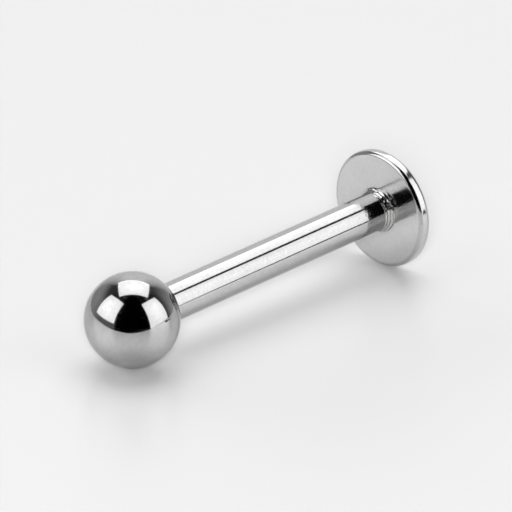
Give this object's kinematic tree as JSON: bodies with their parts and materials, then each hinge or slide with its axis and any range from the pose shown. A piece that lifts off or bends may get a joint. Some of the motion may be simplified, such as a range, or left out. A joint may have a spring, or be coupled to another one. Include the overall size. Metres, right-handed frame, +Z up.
{
  "type": "labret stud",
  "caption": "Straight polished steel labret stud: a smooth bar with a flat soldered disc at one end and a ball that screws on to the threaded tip.",
  "frame": {"origin": "middle of the bounding box's bottom, on the surface that the ball and the disc's edge rest on", "axes": "+X from the ball to the disc along the surface, +Z up; the bar lies in the XZ plane and rises 2.19 degrees towards the disc"},
  "size_m": [0.017, 0.0052, 0.0051],
  "materials": {
    "post_steel": "mirror-polished surgical steel with fine polishing lines along the bar",
    "ball_steel": "mirror-polished surgical steel"
  },
  "bodies": {
    "post": {"post": "post_steel"},
    "ball": {"ball": "ball_steel"}
  },
  "joints": [
    {"name": "ball_unscrew", "type": "slide", "parent": "post", "child": "ball", "axis": [-0.9993, 0, -0.0382], "range_m": [0, 0.0025]}
  ]
}
